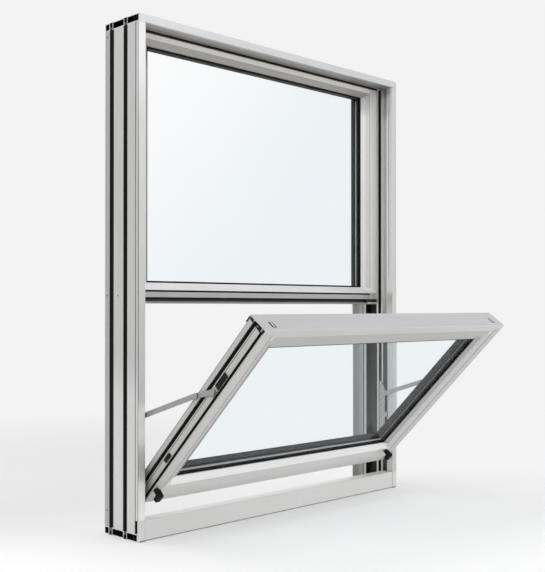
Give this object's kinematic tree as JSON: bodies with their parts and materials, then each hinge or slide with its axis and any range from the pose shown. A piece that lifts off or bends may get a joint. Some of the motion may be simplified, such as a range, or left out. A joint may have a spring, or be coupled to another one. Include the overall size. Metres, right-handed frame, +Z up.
{
  "type": "vertical sliding window",
  "caption": "Vertical sliding window in a thermally broken aluminium frame, with the lower sash tilted into the room on side stays.",
  "frame": {"origin": "middle of the underside of the sill, at mid width and mid depth of the frame", "axes": "+X along the width, -Y towards the room, +Y outdoors, +Z up"},
  "size_m": [0.94, 0.5145, 1.2],
  "materials": {
    "frame_aluminium": "satin mill finish with a fine drawn grain",
    "sash_aluminium": "satin mill finish with a fine drawn grain",
    "thermal_strip": "matt black glass-filled plastic",
    "seal_rubber": "matt black rubber",
    "window_glass": "clear float glass with a faint cool tint",
    "edge_spacer": "dark grey edge spacer",
    "black_plastic": "moulded black plastic",
    "stay_steel": "brushed stainless steel"
  },
  "bodies": {
    "root": {"head": "frame_aluminium", "head_thermal_strips": "thermal_strip", "jamb_pocket_seals": "seal_rubber", "latch_tabs": "sash_aluminium", "left_jamb": "frame_aluminium", "left_jamb_thermal_strips": "thermal_strip", "lower_bottom_rail": "sash_aluminium", "lower_glass_spacer": "edge_spacer", "lower_glazing_beads": "sash_aluminium", "lower_glazing_gaskets": "seal_rubber", "lower_left_stile": "sash_aluminium", "lower_outdoor_pane": "window_glass", "lower_right_stile": "sash_aluminium", "lower_room_pane": "window_glass", "lower_sash_thermal_strips": "thermal_strip", "lower_top_rail": "sash_aluminium", "meeting_rail": "sash_aluminium", "meeting_rail_end_blocks": "sash_aluminium", "pivot_bars": "stay_steel", "pivot_shoes": "black_plastic", "right_jamb": "frame_aluminium", "right_jamb_thermal_strips": "thermal_strip", "sash_feet": "black_plastic", "sill": "frame_aluminium", "sill_apron": "frame_aluminium", "sill_corner_blocks": "frame_aluminium", "sill_step": "frame_aluminium", "sill_thermal_strips": "thermal_strip", "stay_bars": "stay_steel", "stay_brackets": "stay_steel", "stay_links": "stay_steel", "stay_pins": "stay_steel", "stay_sash_plates": "stay_steel", "stay_sliders": "black_plastic", "stile_groove_strips": "seal_rubber", "tilt_latches": "black_plastic", "upper_glass_spacer": "edge_spacer", "upper_glazing_beads": "sash_aluminium", "upper_glazing_gaskets": "seal_rubber", "upper_left_stile": "sash_aluminium", "upper_outdoor_pane": "window_glass", "upper_right_stile": "sash_aluminium", "upper_room_pane": "window_glass", "upper_sash_thermal_strips": "thermal_strip", "upper_top_rail": "sash_aluminium"}
  },
  "joints": []
}
